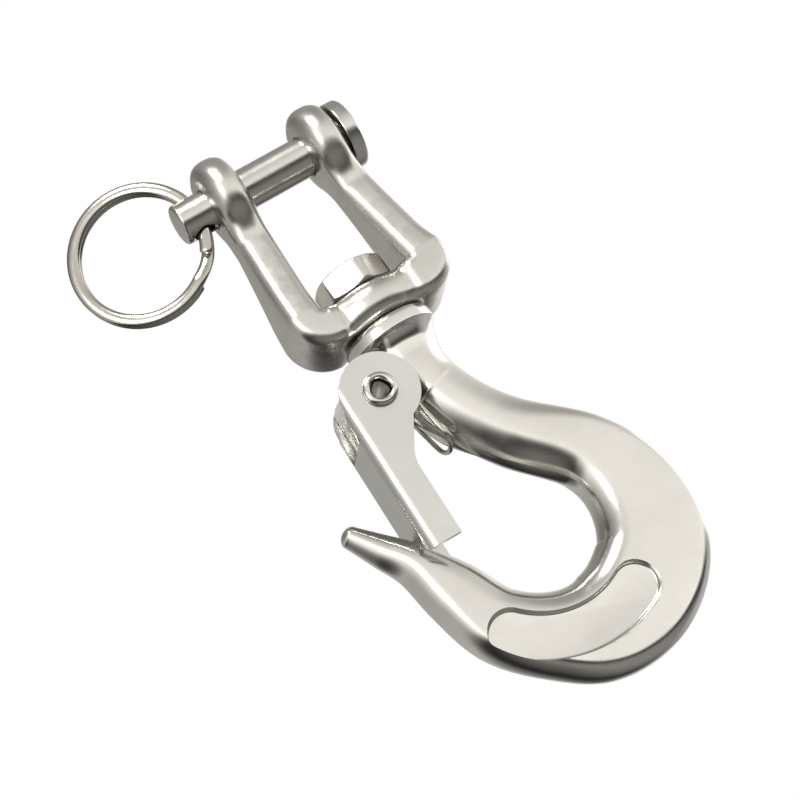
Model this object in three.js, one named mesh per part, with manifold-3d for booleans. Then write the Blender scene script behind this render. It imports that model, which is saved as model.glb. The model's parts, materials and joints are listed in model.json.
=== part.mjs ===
// Swivel hook with a clevis jaw, a retaining ring and a sprung safety latch.
// Millimetres, +Z up. The hook hangs from its clevis pin: the origin is the middle of the pin,
// the pin lies along X, the load hangs down along -Z, and the hook lies in the XZ plane.

import * as THREE from 'three';
import { mergeVertices } from 'three/addons/utils/BufferGeometryUtils.js';
import Module from 'manifold-3d';

// ---------------------------------------------------------------- driving dimensions

// Clevis jaw: a forged U with two ears for the pin and a round boss for the swivel.
const jaw = {
  depth: 30.3,              // pin axis to the inner face of the crossbar
  gapAtEars: 14.4,          // between the flat inner faces of the ears
  gapBelowEars: 15.2,       // between the legs, just below the ears
  gapAtBase: 19.3,          // between the legs where they meet the crossbar
  legThickness: 6.8,
  legDepth: 8.6,            // just below the ears
  baseDepth: 15.4,           // where the legs bend into the crossbar
  earThickness: 7.2,
  earRadius: 8.3,
  earEdgeRound: 2.5,
  earNeck: 1,               // from the ear's circle down to where the leg is straight
  earGrowth: 3.8,           // height over which the leg thickens into the ear
  crossbarHeight: 7.6,
  bossRadius: 8.9,
  bossBlend: 6,             // a higher number makes a sharper corner between boss and leg
  bossEdgeRound: 2.0,
  cornerRadius: 4.9,        // centre line of the bend between leg and crossbar
  edgeRound: 1.3,
};

// Clevis pin with a flat head, cross-drilled at the other end for the ring.
const pin = {
  diameter: 8,
  clearance: 0.15,          // radial, in the ears
  headRadius: 7,
  headThickness: 2.9,
  headGap: 0.3,             // between head and ear
  tailLength: 6.6,          // past the other ear
  chamfer: 0.6,
  crossHoleRadius: 2.2,
  crossHoleFromEar: 2.9,    // ear face to the middle of the cross hole
};

// Split ring: flat wire, wound twice round.
const ring = {
  outerDiameter: 28.2,
  wireWidth: 2.5,           // radial
  wireThickness: 1.3,       // across the ring's plane
  turnGap: 0.12,            // between the two turns
  rise: 0.2,                // ring centre above the pin axis
  swing: 17,                // degrees that the ring is turned back from straight out
  crossoverStart: -62,      // degrees, where the wire begins to step over to its second turn
  crossoverAngle: 26,
};

// Swivel: the hook's neck runs up through the boss and a hex nut holds it.
const swivel = {
  neckDiameter: 7.8,
  neckClearance: 0.2,       // radial, in the boss
  gap: 0.3,                 // between boss and collar, and between crossbar and nut
  collarRadius: 9,
  collarHeight: 3.0,
  collarRound: 0.9,
  nutAcrossFlats: 13,
  nutHeight: 5.2,
  nutClearance: 0.15,       // radial, round the neck
  nutTurn: 8,               // degrees that one corner of the nut is turned from facing front
  neckAboveNut: 0.9,
  neckChamfer: 0.6,
};

// Hook, measured from the middle of its bowl, which lies on the load line.
const hook = {
  shankDrop: 43.4,          // collar's underside to the middle of the bowl
  bowlRadius: 11.4,
  thickness: 12,            // of the flat-faced bowl
  rootWidth: 15.2,          // of the shank where it leaves the collar
  rootThickness: 11.4,
  shankWidth: 12.9,
  shankThickness: 12,
  shankSetback: 0.5,        // how far the shank stands off the load line, away from the latch
  shankStraight: 8,         // straight stretch under the collar
  shankReach: 3.2,          // middle of the shank half way from there to the shoulder
  shoulderReach: 8.0,       // middle of the shank where it swings out above the bowl
  shoulderRise: 17.6,
  shoulderWidth: 13.3,
  shoulderInnerRound: 6,
  armReach: 18.0,           // middle of the arm beside the bowl
  armDrop: 1.7,
  armWidth: 11.8,
  armThickness: 10.8,
  latchSeatReach: 21.1,     // middle of the arm where the latch rests on it
  latchSeatRise: 6.1,
  latchSeatWidth: 8.2,
  tipReach: 27.8,
  tipRise: 16.6,
  tipWidth: 4.2,
  tipThickness: 5.0,
  tipLength: 1.6,           // of the rounded end past the last full section
  innerRound: 5,            // how far the half-round inner side reaches into the flat face
  outerRound: 3,
};

// Share of the hook's half thickness that its outer rounding takes up, from 0 (square) to 1 (full).
const outerEdge = { shoulder: 0.85, bowl: 0.6, arm: 0.9, full: 1 };

// Width of the bowl, at angles counted anticlockwise from +X about the bowl's middle.
const bowlWidths = [
  { angle: 22, width: 14.3 },
  { angle: -10, width: 17.9 },
  { angle: -39, width: 21.2 },
  { angle: -65, width: 20.8 },
  { angle: -89, width: 18.6 },
  { angle: -114, width: 15.4 },
  { angle: -143, width: 13.9 },
];

// Recessed plain panel on the front of the bowl, a slot bent round the bowl's middle.
const panel = { radius: 21.2, halfWidth: 4.4, startAngle: 223, endAngle: 294, recess: 0.6 };

// Latch: a U-shaped pressing. Its sizes are measured from the rivet.
const latch = {
  rivetReach: 9.8,          // load line to rivet
  rivetDrop: 8.6,           // collar's underside to rivet
  tilt: 2.5,                // degrees that the latch leans out from the load line
  sheet: 1.3,
  innerWidth: 14.2,
  headRadius: 7.4,
  headAngle: 68,            // degrees below level where the head runs out into the blade
  webOffset: 8.0,           // rivet to the web's outer face
  webLead: 1.5,             // rivet to where the web's side leaves the head
  webStart: 6.2,            // rivet to the top of the web
  bladeWidth: 6.1,          // rivet's line to the blade's free edge
  bladeStart: 14.2,         // rivet to where the blade reaches its width
  bladeLength: 29.4,
  restGap: 0.45,            // between the web and the arm it rests on
  bendRadius: 2.2,          // outside radius of the two bends
};

// Rivet: tubular, with a rolled flange at each end.
const rivet = {
  radius: 2.4,
  clearance: 0.12,          // radial, in the lug and in the latch
  holeRadius: 1.7,
  mouthRadius: 2.1,
  mouthDepth: 0.9,          // over which the hole opens into its mouth
  crestRadius: 2.4,
  flangeRadius: 3.15,
  flangeHeight: 1.1,
  flangeRound: 0.35,
  flangeGap: 0.1,
};

// Lug on the side of the shank that carries the rivet.
const lug = { radius: 5.2, thickness: 8.4, rootHeight: 13 };

// Latch spring: one wire with a coil each side of the lug and a loop against the shank.
const spring = {
  wireDiameter: 1.0,
  coilRadius: 3.4,          // to the middle of the wire
  pitch: 1.03,
  lugGap: 0.2,              // between the coil and the lug
  legAngle: 160,            // where the leg on the web joins the coil
  legLength: 7.4,
  loopReach: 14.4,          // rivet to where the loop begins to close, along the strand
  loopLean: 12,             // degrees that the strands lean towards the shank
  loopHalfWidth: 2.6,
  loopRound: 2.1,           // how far the closed end reaches past that
};

// Numbers of facets and steps, and the shares that keep outlines from closing to a point.
const facets = {
  round: 40,
  bore: 40,
  rivet: 28,
  corner: 4,
  bend: 5,
  arc: 16,
  barSteps: 10,
  cornerSteps: 8,
  earSteps: 16,
  hookSteps: 60,
  tipSteps: 4,
  ringSteps: 88,
  coilSteps: 12,            // to one turn
  springSteps: 120,
  wireSides: 5,
  keptFlat: 0.98,           // share of a bar's half width that a corner may take up
  lastAngle: 84,            // degrees round a rounded end at which its last outline lies
};

// ---------------------------------------------------------------- small helpers

const degrees = THREE.MathUtils.degToRad;
const wasm = await Module();
wasm.setup();

// A closed three.js geometry as a solid that can be joined and cut.
function solid(geometry) {
  const bare = geometry.clone();
  bare.deleteAttribute('normal');
  bare.deleteAttribute('uv');
  const merged = mergeVertices(bare, 1e-5);
  const mesh = new wasm.Mesh({
    numProp: 3,
    vertProperties: new Float32Array(merged.attributes.position.array),
    triVerts: new Uint32Array(merged.index.array),
  });
  return new wasm.Manifold(mesh);
}

function geometryOf(manifold) {
  const mesh = manifold.getMesh();
  const geometry = new THREE.BufferGeometry();
  geometry.setAttribute('position', new THREE.BufferAttribute(new Float32Array(mesh.vertProperties), 3));
  geometry.setIndex(new THREE.BufferAttribute(new Uint32Array(mesh.triVerts), 1));
  geometry.computeVertexNormals();
  return geometry;
}

// Six times the volume that the triangles enclose; it is negative when they face inwards.
function signedVolume(geometry) {
  const { position } = geometry.attributes;
  const index = geometry.index.array;
  const [a, b, c] = [new THREE.Vector3(), new THREE.Vector3(), new THREE.Vector3()];
  let total = 0;
  for (let i = 0; i < index.length; i += 3) {
    a.fromBufferAttribute(position, index[i]);
    b.fromBufferAttribute(position, index[i + 1]);
    c.fromBufferAttribute(position, index[i + 2]);
    total += a.dot(b.cross(c));
  }
  return total;
}

// A closed skin through a row of outlines, each with the same number of points.
function loft(rings) {
  const count = rings[0].length;
  const points = rings.flat();
  const indices = [];
  for (let i = 0; i + 1 < rings.length; i += 1) {
    for (let j = 0; j < count; j += 1) {
      const next = (j + 1) % count;
      const [a, b] = [i * count + j, i * count + next];
      const [c, d] = [a + count, b + count];
      indices.push(a, b, d, a, d, c);
    }
  }
  const middle = (outline) => outline
    .reduce((sum, point) => sum.add(point), new THREE.Vector3())
    .divideScalar(count);
  const lastRow = (rings.length - 1) * count;
  const firstMiddle = points.length;
  points.push(middle(rings[0]), middle(rings[rings.length - 1]));
  for (let j = 0; j < count; j += 1) {
    const next = (j + 1) % count;
    indices.push(firstMiddle, next, j);
    indices.push(firstMiddle + 1, lastRow + j, lastRow + next);
  }
  const geometry = new THREE.BufferGeometry().setFromPoints(points);
  geometry.setIndex(indices);
  if (signedVolume(geometry) < 0) geometry.setIndex(indices.reverse());
  return geometry;
}

// Outline with flat sides and elliptical corners: u across the bar, v through it.
// Corners on the +u side reach in from the edges by outer.u and outer.v, and those on -u by inner.
function barOutline(halfWidth, halfThickness, outer, inner) {
  const corners = [
    { side: 1, face: 1, from: 0, reach: outer },
    { side: -1, face: 1, from: 90, reach: inner },
    { side: -1, face: -1, from: 180, reach: inner },
    { side: 1, face: -1, from: 270, reach: outer },
  ];
  return corners.flatMap(({ side, face, from, reach }) => {
    const reachU = Math.min(reach.u, halfWidth * facets.keptFlat);
    const reachV = Math.min(reach.v, halfThickness * facets.keptFlat);
    const outline = [];
    for (let k = 0; k <= facets.corner; k += 1) {
      const angle = degrees(from + (90 * k) / facets.corner);
      outline.push({
        u: side * (halfWidth - reachU) + reachU * Math.cos(angle),
        v: face * (halfThickness - reachV) + reachV * Math.sin(angle),
      });
    }
    return outline;
  });
}

// An outline placed across a path in the XZ plane that runs in the direction of heading.
function placeOutline(outline, x, z, heading) {
  const across = { x: -Math.sin(heading), z: Math.cos(heading) };
  return outline.map(({ u, v }) => new THREE.Vector3(x + u * across.x, v, z + u * across.z));
}

function cylinder(radius, length) {
  return new THREE.CylinderGeometry(radius, radius, length, facets.bore);
}

// Turned shape: the profile is (radius, height) pairs, and height runs along +Z.
function turned(profile, sides = facets.round) {
  const points = profile.map(([r, h]) => new THREE.Vector2(r, h));
  return new THREE.LatheGeometry(points, sides).rotateX(Math.PI / 2);
}

function largerOf(a, b, sharpness) {
  return (a ** sharpness + b ** sharpness) ** (1 / sharpness);
}

function steel(color, roughness) {
  return new THREE.MeshStandardMaterial({ color, roughness, metalness: 1 });
}

function piece(name, geometry, material) {
  const mesh = new THREE.Mesh(geometry, material);
  mesh.name = name;
  return mesh;
}

// ---------------------------------------------------------------- places that pieces share

const earOuterX = jaw.gapAtEars / 2 + jaw.earThickness;
const crossbarTop = -jaw.depth;
const crossbarBottom = crossbarTop - jaw.crossbarHeight;
const collarTop = crossbarBottom - swivel.gap;
const collarBottom = collarTop - swivel.collarHeight;
const nutBottom = crossbarTop + swivel.gap;
const crossHoleX = -(earOuterX + pin.crossHoleFromEar);
const rivetX = -latch.rivetReach;
const rivetZ = collarBottom - latch.rivetDrop;
const bowlZ = collarBottom - hook.shankDrop;
const latchHalfWidth = latch.innerWidth / 2 + latch.sheet;

// ---------------------------------------------------------------- clevis jaw

// Stations of the right half of the U, from the middle of the crossbar to the top of the ear.
function jawStations() {
  const lean = Math.atan((jaw.gapAtBase - jaw.gapBelowEars) / 2 / (jaw.depth - jaw.earRadius));
  const half = jaw.crossbarHeight / 2;
  const legHalf = jaw.legThickness / 2;
  const [plain, base] = [jaw.legDepth / 2, jaw.baseDepth / 2];
  const barZ = crossbarTop - half;
  const bendZ = barZ + jaw.cornerRadius;
  const legX = (z) => jaw.gapAtBase / 2 + legHalf / Math.cos(lean) - (z - crossbarTop) * Math.tan(lean);
  const bendX = legX(bendZ) - jaw.cornerRadius / Math.cos(lean);
  const stations = [];

  for (let i = 0; i <= facets.barSteps; i += 1) {
    const x = (bendX * i) / facets.barSteps;
    const boss = Math.sqrt(Math.max(jaw.bossRadius ** 2 - x ** 2, 0));
    const depth = largerOf(base, boss, jaw.bossBlend);
    stations.push({ x, z: barZ, heading: 0, half, depth, round: jaw.bossEdgeRound });
  }

  const beyond = stations[stations.length - 1].depth;
  for (let i = 1; i <= facets.cornerSteps; i += 1) {
    const share = i / facets.cornerSteps;
    const turn = (Math.PI / 2 + lean) * share;
    stations.push({
      x: bendX + jaw.cornerRadius * Math.sin(turn),
      z: bendZ - jaw.cornerRadius * Math.cos(turn),
      heading: turn,
      half: THREE.MathUtils.lerp(half, legHalf, share),
      depth: THREE.MathUtils.lerp(beyond, base, THREE.MathUtils.smoothstep(share, 0, 1)),
      round: THREE.MathUtils.lerp(jaw.bossEdgeRound, jaw.edgeRound, share),
    });
  }

  const earX = jaw.gapAtEars / 2 + jaw.earThickness / 2;
  const earHalf = jaw.earThickness / 2;
  const neckZ = -jaw.earRadius - jaw.earNeck;
  stations.push({
    x: legX(neckZ),
    z: neckZ,
    heading: Math.PI / 2 + lean,
    half: legHalf,
    depth: plain,
    round: jaw.edgeRound,
  });
  for (let i = 1; i <= facets.earSteps; i += 1) {
    const swing = degrees(THREE.MathUtils.lerp(-90, facets.lastAngle, i / facets.earSteps));
    const z = jaw.earRadius * Math.sin(swing);
    const past = Math.max(z - (jaw.earRadius - jaw.earEdgeRound), 0);
    const shoulder = jaw.earEdgeRound - Math.sqrt(jaw.earEdgeRound ** 2 - past ** 2);
    const grown = THREE.MathUtils.smoothstep(z, neckZ, jaw.earGrowth - jaw.earRadius);
    const ear = Math.sqrt(jaw.earRadius ** 2 - z ** 2);
    stations.push({
      x: THREE.MathUtils.lerp(legX(Math.min(z, neckZ)), earX, grown),
      z,
      heading: Math.PI / 2 + lean * (1 - grown),
      half: THREE.MathUtils.lerp(legHalf, earHalf, grown) - shoulder,
      depth: z < 0 ? largerOf(plain, ear, jaw.bossBlend) : ear,
      round: THREE.MathUtils.lerp(jaw.edgeRound, jaw.earEdgeRound, grown),
    });
  }
  return stations;
}

function jawFork() {
  const right = jawStations();
  const left = right.slice(1).reverse().map((s) => ({ ...s, x: -s.x, heading: -s.heading }));
  const rings = [...left, ...right].map((s) => {
    const corner = { u: Math.min(s.round, s.half), v: Math.min(s.round, s.depth) };
    return placeOutline(barOutline(s.half, s.depth, corner, corner), s.x, s.z, s.heading);
  });
  const boreLength = 2 * (earOuterX + jaw.earRadius);
  const pinBore = cylinder(pin.diameter / 2 + pin.clearance, boreLength).rotateZ(Math.PI / 2);
  const neckBore = cylinder(swivel.neckDiameter / 2 + swivel.neckClearance, jaw.crossbarHeight * 2)
    .rotateX(Math.PI / 2)
    .translate(0, 0, (crossbarTop + crossbarBottom) / 2);
  return geometryOf(solid(loft(rings)).subtract(solid(pinBore)).subtract(solid(neckBore)));
}

// ---------------------------------------------------------------- clevis pin and split ring

function clevisPin() {
  const radius = pin.diameter / 2;
  const tail = -(earOuterX + pin.tailLength);
  const head = earOuterX + pin.headGap;
  const end = head + pin.headThickness;
  const profile = [
    [0, tail],
    [radius - pin.chamfer, tail],
    [radius, tail + pin.chamfer],
    [radius, head],
    [pin.headRadius - pin.chamfer / 2, head],
    [pin.headRadius, head + pin.chamfer / 2],
    [pin.headRadius, end - pin.chamfer],
    [pin.headRadius - pin.chamfer, end],
    [0, end],
  ];
  const body = turned(profile).rotateY(Math.PI / 2);
  const hole = cylinder(pin.crossHoleRadius, pin.diameter * 1.5)
    .rotateX(Math.PI / 2)
    .translate(crossHoleX, 0, 0);
  return geometryOf(solid(body).subtract(solid(hole)));
}

// Wire along a path: an oval of the given width, and of the given thickness across the path's plane.
function wire(path, steps, width, thickness) {
  const outline = new THREE.Shape().absellipse(0, 0, thickness / 2, width / 2, 0, 2 * Math.PI, false, 0);
  const shape = new THREE.Shape(outline.getPoints(facets.wireSides).slice(0, -1));
  return new THREE.ExtrudeGeometry(shape, { steps, bevelEnabled: false, extrudePath: path });
}

const ringRadius = (ring.outerDiameter - ring.wireWidth) / 2;

// Two turns that lie side by side, with one step between them just below the pin.
class SplitRingPath extends THREE.Curve {
  getPoint(t, target = new THREE.Vector3()) {
    const swept = (720 - ring.crossoverAngle) * t;
    const step = (swept - (360 - ring.crossoverAngle)) / ring.crossoverAngle;
    const lift = THREE.MathUtils.smoothstep(step, 0, 1) - 0.5;
    const angle = degrees(ring.crossoverStart + ring.crossoverAngle + swept);
    const pitch = ring.wireThickness + ring.turnGap;
    return target.set(ringRadius * Math.cos(angle), lift * pitch, ringRadius * Math.sin(angle));
  }
}

// The ring hangs through the cross hole, and half of its sag over the hole's length lies each side of it.
function splitRing() {
  const holeHalf = pin.diameter / 2 + ring.rise;
  const sag = ringRadius - Math.sqrt(ringRadius ** 2 - holeHalf ** 2);
  return wire(new SplitRingPath(), facets.ringSteps, ring.wireWidth, ring.wireThickness)
    .translate(sag / 2 - ringRadius, 0, ring.rise)
    .rotateZ(degrees(-ring.swing))
    .translate(crossHoleX, 0, 0);
}

// ---------------------------------------------------------------- hook

// Sections of the hook from inside its collar, round the bowl, to the tip. Each has its middle, its
// width and thickness, how far its rounded sides reach in, and the share that the outer one takes up.
function hookSections() {
  const round = (width, thickness) => ({
    width, thickness, inner: width / 2, outer: width / 2, edge: outerEdge.full,
  });
  const flat = (width, thickness, edge) => ({
    width, thickness, inner: hook.innerRound, outer: hook.outerRound, edge,
  });
  const straightEnd = collarBottom - hook.shankStraight;
  const shoulderZ = bowlZ + hook.shoulderRise;
  const seat = { width: hook.latchSeatWidth, thickness: (hook.thickness * 2 + hook.tipThickness) / 3 };
  return [
    { x: 0, z: collarBottom + swivel.collarHeight / 2, ...round(hook.rootWidth, hook.rootThickness) },
    { x: hook.shankSetback, z: straightEnd, ...round(hook.shankWidth, hook.shankThickness) },
    {
      x: hook.shankReach,
      z: (straightEnd + shoulderZ) / 2,
      ...round(hook.shankWidth, hook.shankThickness),
    },
    {
      x: hook.shoulderReach,
      z: shoulderZ,
      ...round(hook.shoulderWidth, hook.shankThickness),
      inner: hook.shoulderInnerRound,
      edge: outerEdge.shoulder,
    },
    ...bowlWidths.map(({ angle, width }) => {
      const reach = hook.bowlRadius + width / 2;
      return {
        x: reach * Math.cos(degrees(angle)),
        z: bowlZ + reach * Math.sin(degrees(angle)),
        ...flat(width, hook.thickness, outerEdge.bowl),
      };
    }),
    {
      x: -hook.armReach,
      z: bowlZ - hook.armDrop,
      ...flat(hook.armWidth, hook.armThickness, outerEdge.arm),
    },
    { x: -hook.latchSeatReach, z: bowlZ + hook.latchSeatRise, ...round(seat.width, seat.thickness) },
    {
      x: -(hook.latchSeatReach + hook.tipReach) / 2,
      z: bowlZ + (hook.latchSeatRise + hook.tipRise) / 2,
      ...round((seat.width + hook.tipWidth) / 2, (seat.thickness + hook.tipThickness) / 2),
    },
    { x: -hook.tipReach, z: bowlZ + hook.tipRise, ...round(hook.tipWidth, hook.tipThickness) },
  ];
}

// The same sections as smooth curves: middle line, sizes and rounding, all on one share from 0 to 1.
function hookCurves() {
  const sections = hookSections();
  const curve = (pick) => new THREE.CatmullRomCurve3(sections.map(pick), false, 'catmullrom', 0.5);
  return {
    middle: curve((s) => new THREE.Vector3(s.x, 0, s.z)),
    size: curve((s) => new THREE.Vector3(s.width / 2, s.thickness / 2, s.edge)),
    rounding: curve((s) => new THREE.Vector3(s.inner, s.outer, 0)),
  };
}

function hookSectionAt(curves, t) {
  const middle = curves.middle.getPoint(t);
  const tangent = curves.middle.getTangent(t);
  const size = curves.size.getPoint(t);
  const rounding = curves.rounding.getPoint(t);
  return {
    x: middle.x,
    z: middle.z,
    heading: Math.atan2(tangent.z, tangent.x),
    halfWidth: size.x,
    halfThickness: size.y,
    inner: rounding.x,
    outer: rounding.y,
    edge: Math.min(size.z, outerEdge.full),
  };
}

function hookOutline(section, scale = 1) {
  const { halfWidth, halfThickness, inner, outer, edge } = section;
  return barOutline(
    halfWidth * scale,
    halfThickness * scale,
    { u: outer * scale, v: halfThickness * scale * edge },
    { u: inner * scale, v: halfThickness * scale },
  );
}

function hookBar() {
  const curves = hookCurves();
  const rings = [];
  for (let i = 0; i <= facets.hookSteps; i += 1) {
    const section = hookSectionAt(curves, i / facets.hookSteps);
    rings.push(placeOutline(hookOutline(section), section.x, section.z, section.heading));
  }
  const end = hookSectionAt(curves, 1);
  for (let i = 1; i <= facets.tipSteps; i += 1) {
    const swing = degrees((facets.lastAngle * i) / facets.tipSteps);
    const reach = hook.tipLength * Math.sin(swing);
    rings.push(placeOutline(
      hookOutline(end, Math.cos(swing)),
      end.x + reach * Math.cos(end.heading),
      end.z + reach * Math.sin(end.heading),
      end.heading,
    ));
  }
  return loft(rings);
}

// Neck, which passes through the boss and the nut, and the collar that carries the boss.
function neckAndCollar() {
  const neck = swivel.neckDiameter / 2;
  const top = nutBottom + swivel.nutHeight + swivel.neckAboveNut;
  const { collarRadius, collarRound } = swivel;
  const cut = collarRound * (1 - Math.SQRT1_2);
  return turned([
    [0, top],
    [neck - swivel.neckChamfer, top],
    [neck, top - swivel.neckChamfer],
    [neck, collarTop],
    [collarRadius - collarRound, collarTop],
    [collarRadius - cut, collarTop - cut],
    [collarRadius, collarTop - collarRound],
    [collarRadius, collarBottom + collarRound],
    [collarRadius - collarRound, collarBottom],
    [hook.shankThickness / 2, collarBottom - collarRound],
    [0, collarBottom - collarRound],
  ].reverse());
}

// Lug seen from the front: a round end about the rivet, widening into the shank.
function lugPlate() {
  const rootX = latch.rivetReach;
  const shape = new THREE.Shape();
  shape.moveTo(rootX, -lug.rootHeight / 2);
  shape.lineTo(rootX, lug.rootHeight / 2);
  shape.lineTo(0, lug.radius);
  shape.absarc(0, 0, lug.radius, Math.PI / 2, (3 * Math.PI) / 2, false);
  shape.closePath();
  const depth = lug.thickness;
  return new THREE.ExtrudeGeometry(shape, { depth, bevelEnabled: false, curveSegments: facets.arc })
    .translate(0, 0, -lug.thickness / 2)
    .rotateX(Math.PI / 2)
    .translate(rivetX, 0, rivetZ);
}

function panelCutter() {
  const [start, end] = [degrees(panel.startAngle), degrees(panel.endAngle)];
  const { radius, halfWidth } = panel;
  const shape = new THREE.Shape();
  const roundEnd = (at, from) => shape
    .absarc(radius * Math.cos(at), radius * Math.sin(at), halfWidth, from, from + Math.PI, false);
  shape.absarc(0, 0, radius + halfWidth, start, end, false);
  roundEnd(end, end);
  shape.absarc(0, 0, radius - halfWidth, end, start, true);
  roundEnd(start, start + Math.PI);
  const depth = panel.recess * 2;
  return new THREE.ExtrudeGeometry(shape, { depth, bevelEnabled: false, curveSegments: facets.arc })
    .rotateX(Math.PI / 2)
    .translate(0, -hook.thickness / 2 + panel.recess, bowlZ);
}

function hookBody() {
  const bore = cylinder(rivet.radius + rivet.clearance, lug.thickness * 2).translate(rivetX, 0, rivetZ);
  const joined = solid(hookBar()).add(solid(neckAndCollar())).add(solid(lugPlate()));
  return geometryOf(joined.subtract(solid(bore)).subtract(solid(panelCutter())));
}

function swivelNut() {
  const corner = swivel.nutAcrossFlats / 2 / Math.cos(Math.PI / 6);
  const hex = new THREE.CylinderGeometry(corner, corner, swivel.nutHeight, 6)
    .rotateX(Math.PI / 2)
    .rotateZ(degrees(swivel.nutTurn));
  const boreRadius = swivel.neckDiameter / 2 + swivel.nutClearance;
  const bore = cylinder(boreRadius, swivel.nutHeight * 2).rotateX(Math.PI / 2);
  return geometryOf(solid(hex).subtract(solid(bore))).translate(0, 0, nutBottom + swivel.nutHeight / 2);
}

// ---------------------------------------------------------------- safety latch

// Latch frame: u points away from the web, w runs down the blade, both from the rivet.
function latchPoint(x, z) {
  const lean = degrees(latch.tilt);
  const [dx, dz] = [x - rivetX, z - rivetZ];
  return { u: dx * Math.cos(lean) - dz * Math.sin(lean), w: -dx * Math.sin(lean) - dz * Math.cos(lean) };
}

// How far down the web's outer face reaches before it meets the inner side of the hook's arm.
function webReach() {
  const curves = hookCurves();
  const samples = 400;
  for (let i = samples; i > 0; i -= 1) {
    const section = hookSectionAt(curves, i / samples);
    const x = section.x + section.halfWidth * Math.sin(section.heading);
    const z = section.z - section.halfWidth * Math.cos(section.heading);
    const { u, w } = latchPoint(x, z);
    if (u > -latch.webOffset) return w;
  }
  return latch.bladeLength;
}

// Side view of the latch: a round head that narrows into a straight blade.
function latchOutline() {
  const edge = latch.webOffset;
  const blade = latch.bladeWidth - edge;
  const leave = degrees(-latch.headAngle);
  const shape = new THREE.Shape();
  shape.moveTo(-edge, -latch.bladeLength);
  shape.lineTo(blade, -latch.bladeLength);
  shape.lineTo(blade, -latch.bladeStart);
  shape.lineTo(latch.headRadius * Math.cos(leave), latch.headRadius * Math.sin(leave));
  shape.absarc(0, 0, latch.headRadius, leave, Math.PI, false);
  shape.lineTo(-edge, -latch.webLead);
  shape.closePath();
  return shape;
}

// A channel with rounded bends, seen along the blade. It is open on the side away from the web.
function channel(halfWidth, offset, radius, length, far) {
  const shape = new THREE.Shape();
  shape.moveTo(far, -halfWidth);
  shape.lineTo(far, halfWidth);
  shape.lineTo(-offset + radius, halfWidth);
  shape.absarc(-offset + radius, halfWidth - radius, radius, Math.PI / 2, Math.PI, false);
  shape.absarc(-offset + radius, -halfWidth + radius, radius, Math.PI, (3 * Math.PI) / 2, false);
  shape.closePath();
  return new THREE.ExtrudeGeometry(shape, { depth: length, bevelEnabled: false, curveSegments: facets.bend })
    .translate(0, 0, -length / 2);
}

// The pressing is a long channel trimmed to the side view. Its window and its foot are cut half way
// into the bends, so that the sides stand clear of the hook.
function safetyLatch() {
  const { sheet, webOffset, bendRadius, bladeLength, headRadius } = latch;
  const reach = webReach() - latch.restGap;
  const [tall, deep] = [4 * bladeLength, 2 * headRadius];
  const outside = solid(channel(latchHalfWidth, webOffset, bendRadius, tall, deep));
  const inner = channel(latch.innerWidth / 2, webOffset - sheet, bendRadius - sheet, 2 * tall, 2 * deep);
  const sideView = new THREE.ExtrudeGeometry(latchOutline(), {
    depth: 4 * latchHalfWidth, bevelEnabled: false, curveSegments: facets.arc,
  })
    .translate(0, 0, -2 * latchHalfWidth)
    .rotateX(Math.PI / 2);
  const between = 2 * latchHalfWidth - bendRadius - sheet / 2;
  const cut = (top, bottom) => new THREE.BoxGeometry(4 * sheet, between, top - bottom)
    .translate(-webOffset, 0, (top + bottom) / 2);
  const window = cut(deep, -latch.webStart);
  const foot = cut(-reach, -2 * bladeLength);
  const bore = cylinder(rivet.radius + rivet.clearance, 4 * latchHalfWidth);
  const pressing = outside.subtract(solid(inner)).intersect(solid(sideView));
  return geometryOf(pressing.subtract(solid(window)).subtract(solid(foot)).subtract(solid(bore)))
    .rotateY(degrees(latch.tilt))
    .translate(rivetX, 0, rivetZ);
}

function latchRivet() {
  const shoulder = latchHalfWidth + rivet.flangeGap;
  const end = shoulder + rivet.flangeHeight;
  const { flangeRadius, flangeRound, mouthRadius } = rivet;
  const half = [
    [rivet.radius, shoulder],
    [flangeRadius - flangeRound, shoulder],
    [flangeRadius, shoulder + flangeRound],
    [(flangeRadius + rivet.crestRadius) / 2, end - flangeRound / 2],
    [rivet.crestRadius, end],
    [mouthRadius, end - flangeRound],
    [rivet.holeRadius, end - rivet.mouthDepth],
  ];
  const other = half.map(([r, h]) => [r, -h]).reverse();
  return turned([...half, ...other, half[0]], facets.rivet)
    .rotateX(Math.PI / 2)
    .translate(rivetX, 0, rivetZ);
}

// ---------------------------------------------------------------- latch spring

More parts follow.
